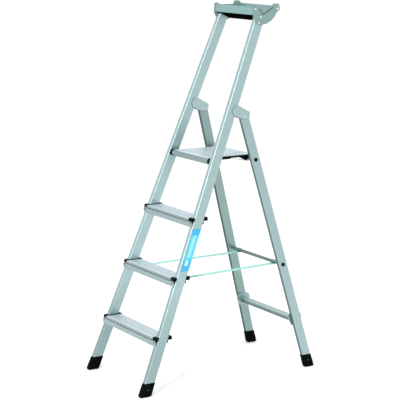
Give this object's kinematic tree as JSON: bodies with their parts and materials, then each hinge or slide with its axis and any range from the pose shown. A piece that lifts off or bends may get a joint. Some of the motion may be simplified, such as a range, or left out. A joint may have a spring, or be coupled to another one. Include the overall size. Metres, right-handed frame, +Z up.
{
  "type": "folding platform step ladder",
  "caption": "Folding step ladder: two leaning box rails with flat treads, a hinged platform, a tool tray between the rail tops, and a braced rear frame held by straps.",
  "frame": {"origin": "on the floor, in the middle of the ladder's footprint and width", "axes": "+X the climber's right, +Y the way the climber faces, +Z up"},
  "size_m": [0.4714, 0.8486, 1.523],
  "materials": {
    "rail_aluminium": "pale anodised, faint drawing lines along the section",
    "deck_aluminium": "satin mill finish with fine ribs",
    "steel": "bright zinc plated",
    "black_plastic": "moulded, slightly textured",
    "foot_rubber": "matte moulded shoe",
    "webbing": "woven flat webbing",
    "blue_film": "printed film with plain stripes"
  },
  "bodies": {
    "front_frame": {"front_rail_right": "rail_aluminium", "front_rail_left": "rail_aluminium", "front_foot_right": "foot_rubber", "front_foot_left": "foot_rubber", "tread_1": "deck_aluminium", "tread_collar_1_right": "black_plastic", "tread_collar_1_left": "black_plastic", "tread_rivet_1_right": "steel", "tread_rivet_1_left": "steel", "tread_2": "deck_aluminium", "tread_collar_2_right": "black_plastic", "tread_collar_2_left": "black_plastic", "tread_rivet_2_right": "steel", "tread_rivet_2_left": "steel", "tread_3": "deck_aluminium", "tread_collar_3_right": "black_plastic", "tread_collar_3_left": "black_plastic", "tread_rivet_3_right": "steel", "tread_rivet_3_left": "steel", "hinge_bracket_right": "rail_aluminium", "hinge_bracket_left": "rail_aluminium", "hinge_pin_right": "steel", "hinge_pin_left": "steel", "platform_axle": "steel", "platform_bush_right": "black_plastic", "platform_bush_left": "black_plastic", "tool_tray": "rail_aluminium", "tray_end_right": "rail_aluminium", "tray_end_left": "rail_aluminium", "tray_screw_front_right": "steel", "tray_screw_front_left": "steel", "tray_screw_upper_right": "steel", "tray_screw_upper_left": "steel", "tray_screw_lower_right": "steel", "tray_screw_lower_left": "steel", "tray_screw_rear_right": "steel", "tray_screw_rear_left": "steel", "strap_right": "webbing", "strap_left": "webbing", "strap_rivet_right": "steel", "strap_rivet_left": "steel", "rail_label": "blue_film"},
    "rear_frame": {"rear_leg_right": "rail_aluminium", "rear_leg_left": "rail_aluminium", "rear_foot_right": "foot_rubber", "rear_foot_left": "foot_rubber", "rear_brace": "rail_aluminium", "brace_bracket_right": "rail_aluminium", "brace_bracket_left": "rail_aluminium", "strap_rod": "rail_aluminium", "strap_rod_plug_right": "black_plastic", "strap_rod_plug_left": "black_plastic", "rest_rod": "rail_aluminium", "rest_rod_plug_right": "black_plastic", "rest_rod_plug_left": "black_plastic"},
    "platform": {"platform_deck": "deck_aluminium", "platform_side_cap_right": "black_plastic", "platform_side_cap_left": "black_plastic", "platform_catch_right": "steel", "platform_catch_left": "steel"}
  },
  "joints": [
    {"name": "rear_fold", "type": "hinge", "parent": "front_frame", "child": "rear_frame", "pos_m": [0, 0.10459, 1.079], "axis": [-1, 0, 0], "range_deg": [0, 35.5], "deforming": ["strap_right", "strap_left"]},
    {"name": "platform_fold", "type": "hinge", "parent": "front_frame", "child": "platform", "pos_m": [0, -0.04311, 0.9018], "axis": [1, 0, 0], "range_deg": [0, 66.1], "deforming": ["platform_catch_right", "platform_catch_left"]}
  ],
  "couplings": [
    {"joint": "platform_fold", "follows": "rear_fold", "ratio": 1.86}
  ]
}
